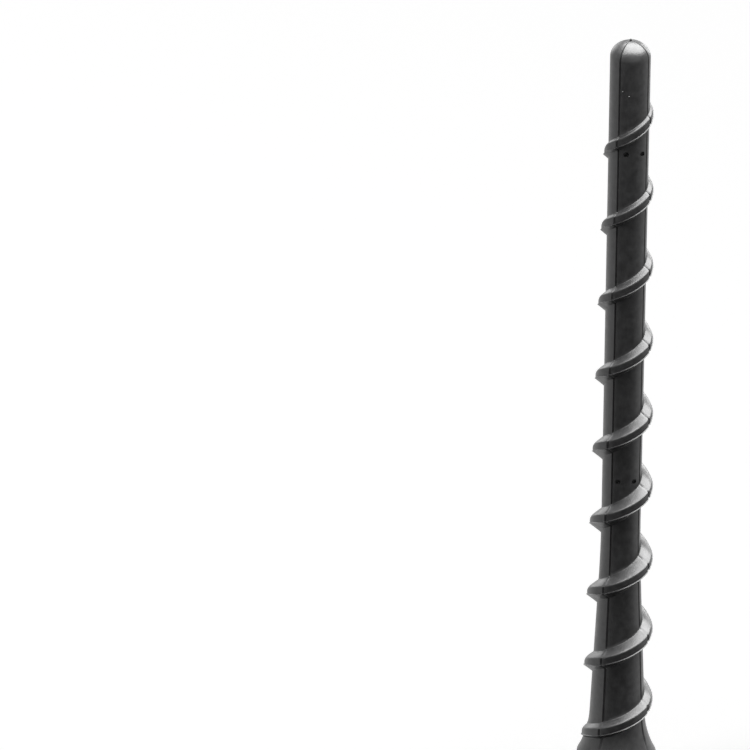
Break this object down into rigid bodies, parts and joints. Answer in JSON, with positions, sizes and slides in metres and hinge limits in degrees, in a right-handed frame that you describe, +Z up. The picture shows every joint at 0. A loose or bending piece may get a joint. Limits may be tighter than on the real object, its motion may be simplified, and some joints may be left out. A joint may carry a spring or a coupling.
{
  "type": "car mast aerial",
  "caption": "Flexible black rubber mast aerial for a car, with a spiral rib, a domed tip, a conical foot and a threaded stud; it bends over and springs back upright.",
  "frame": {"origin": "centre of the foot's underside, where the stud leaves it", "axes": "+Z up the mast, +X to the right and -Y towards the viewer of the picture"},
  "size_m": [0.021, 0.021, 0.214],
  "materials": {
    "rubber": "satin moulded rubber",
    "stud_metal": "turned, bright plated",
    "copper": "enamelled copper wire",
    "core_plastic": "natural nylon"
  },
  "bodies": {
    "foot": {"rubber_sheath": "rubber", "base_stud": "stud_metal", "copper_winding": "copper", "core_rod_1": "core_plastic"},
    "link_1": {"core_rod_2": "core_plastic"},
    "link_2": {"core_rod_3": "core_plastic"},
    "link_3": {"core_rod_4": "core_plastic"},
    "link_4": {"core_rod_5": "core_plastic"},
    "link_5": {"core_rod_6": "core_plastic"},
    "tip": {"core_rod_7": "core_plastic"}
  },
  "joints": [
    {"name": "bend_1", "type": "hinge", "parent": "foot", "child": "link_1", "pos_m": [0, 0, 0.02833], "axis": [0, -1, 0], "range_deg": [-21, 21], "stiffness_Nm_per_rad": 0.5, "deforming": ["rubber_sheath", "copper_winding", "core_rod_1", "core_rod_2"]},
    {"name": "bend_2", "type": "hinge", "parent": "link_1", "child": "link_2", "pos_m": [0, 0, 0.049], "axis": [0, -1, 0], "range_deg": [-21, 21], "stiffness_Nm_per_rad": 0.5, "deforming": ["rubber_sheath", "copper_winding", "core_rod_2", "core_rod_3"]},
    {"name": "bend_3", "type": "hinge", "parent": "link_2", "child": "link_3", "pos_m": [0, 0, 0.06967], "axis": [0, -1, 0], "range_deg": [-21, 21], "stiffness_Nm_per_rad": 0.5, "deforming": ["rubber_sheath", "copper_winding", "core_rod_3", "core_rod_4"]},
    {"name": "bend_4", "type": "hinge", "parent": "link_3", "child": "link_4", "pos_m": [0, 0, 0.09033], "axis": [0, -1, 0], "range_deg": [-21, 21], "stiffness_Nm_per_rad": 0.5, "deforming": ["rubber_sheath", "copper_winding", "core_rod_4", "core_rod_5"]},
    {"name": "bend_5", "type": "hinge", "parent": "link_4", "child": "link_5", "pos_m": [0, 0, 0.111], "axis": [0, -1, 0], "range_deg": [-21, 21], "stiffness_Nm_per_rad": 0.5, "deforming": ["rubber_sheath", "copper_winding", "core_rod_5", "core_rod_6"]},
    {"name": "bend_6", "type": "hinge", "parent": "link_5", "child": "tip", "pos_m": [0, 0, 0.13167], "axis": [0, -1, 0], "range_deg": [-21, 21], "stiffness_Nm_per_rad": 0.5, "deforming": ["rubber_sheath", "copper_winding", "core_rod_6", "core_rod_7"]}
  ],
  "couplings": [
    {"joint": "bend_2", "follows": "bend_1", "ratio": 1},
    {"joint": "bend_3", "follows": "bend_1", "ratio": 1},
    {"joint": "bend_4", "follows": "bend_1", "ratio": 1},
    {"joint": "bend_5", "follows": "bend_1", "ratio": 1},
    {"joint": "bend_6", "follows": "bend_1", "ratio": 1}
  ]
}
